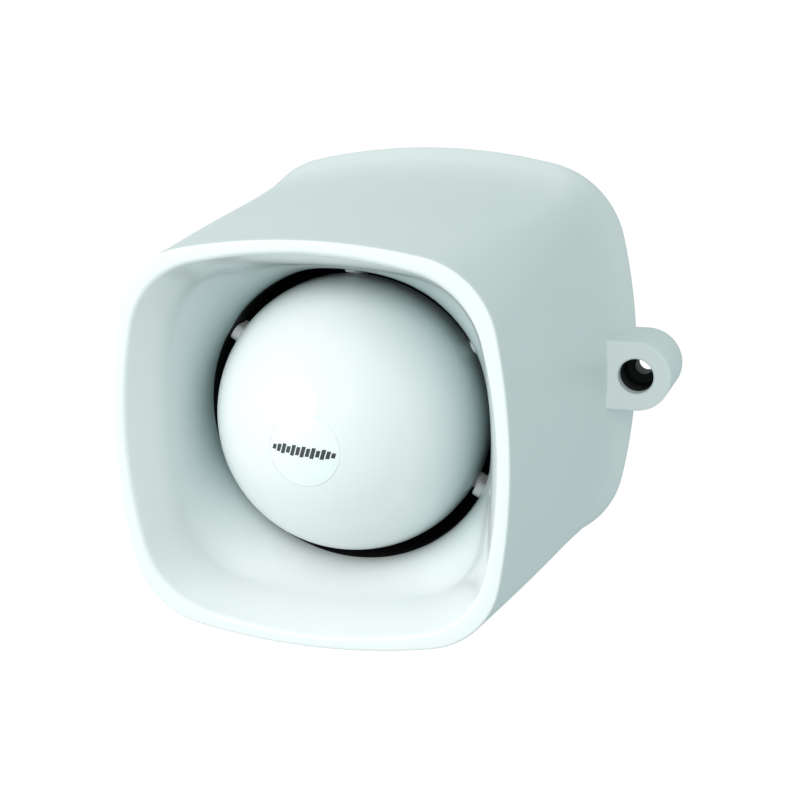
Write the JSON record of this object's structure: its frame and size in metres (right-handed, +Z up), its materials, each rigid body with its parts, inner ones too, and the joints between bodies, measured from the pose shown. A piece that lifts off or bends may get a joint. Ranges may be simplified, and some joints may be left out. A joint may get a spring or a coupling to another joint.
{
  "type": "alarm siren",
  "caption": "Wall-mounted square horn siren: bowed rounded-square white housing with side ears, reflector dome, compression driver, circuit board and rear cover.",
  "frame": {"origin": "centre of the rear cover's back face, on the wall plane", "axes": "+Y points into the wall, so the horn opens towards -Y; +Z is up; +X is the right-hand ear as seen from behind the sound, that is from the front with the camera looking along +Y"},
  "size_m": [0.137, 0.1013, 0.1126],
  "materials": {
    "white_abs": "gloss moulded ABS",
    "badge": null,
    "black_plastic": "fine matt",
    "rubber": "matt",
    "steel": "zinc plated",
    "screw": "zinc plated",
    "ferrite": "ground ferrite",
    "diaphragm": "impregnated film",
    "copper": "enamelled copper winding",
    "board": "green solder mask",
    "capacitor": "printed sleeve",
    "aluminium": "sheet",
    "terminal": "moulded nylon",
    "red_sleeve": "PVC wire sleeve",
    "black_sleeve": "PVC wire sleeve"
  },
  "bodies": {
    "siren_body": {"badge_disc": "badge", "board_screw_1": "screw", "board_screw_2": "screw", "board_screw_3": "screw", "board_screw_4": "screw", "cable_grommet": "rubber", "capacitor_1": "capacitor", "capacitor_2": "capacitor", "circuit_board": "board", "coil_lead_black": "black_sleeve", "coil_lead_red": "red_sleeve", "diaphragm_surround": "rubber", "dome_support": "white_abs", "driver_front_plate": "black_plastic", "driver_gasket": "rubber", "driver_screw_1": "screw", "driver_screw_2": "screw", "driver_screw_3": "screw", "driver_screw_4": "screw", "heat_sink": "aluminium", "horn_housing": "white_abs", "magnet_yoke": "steel", "phase_plug": "black_plastic", "rear_cover": "white_abs", "rear_screw_1": "screw", "rear_screw_2": "screw", "rear_screw_3": "screw", "rear_screw_4": "screw", "rear_seal": "rubber", "reflector_dome": "white_abs", "ring_magnet": "ferrite", "siren_chip": "black_plastic", "spacer_ring": "black_plastic", "terminal_block": "terminal", "terminal_strip": "terminal", "tone_tube": "black_plastic", "top_plate": "steel", "transistor_1": "black_plastic", "transistor_2": "black_plastic"},
    "diaphragm_unit": {"diaphragm": "diaphragm", "voice_coil": "copper"}
  },
  "joints": [
    {"name": "diaphragm_stroke", "type": "slide", "parent": "siren_body", "child": "diaphragm_unit", "axis": [0, -1, 0], "range_m": [-0.0003, 0.0003], "stiffness_N_per_m": 2000}
  ]
}
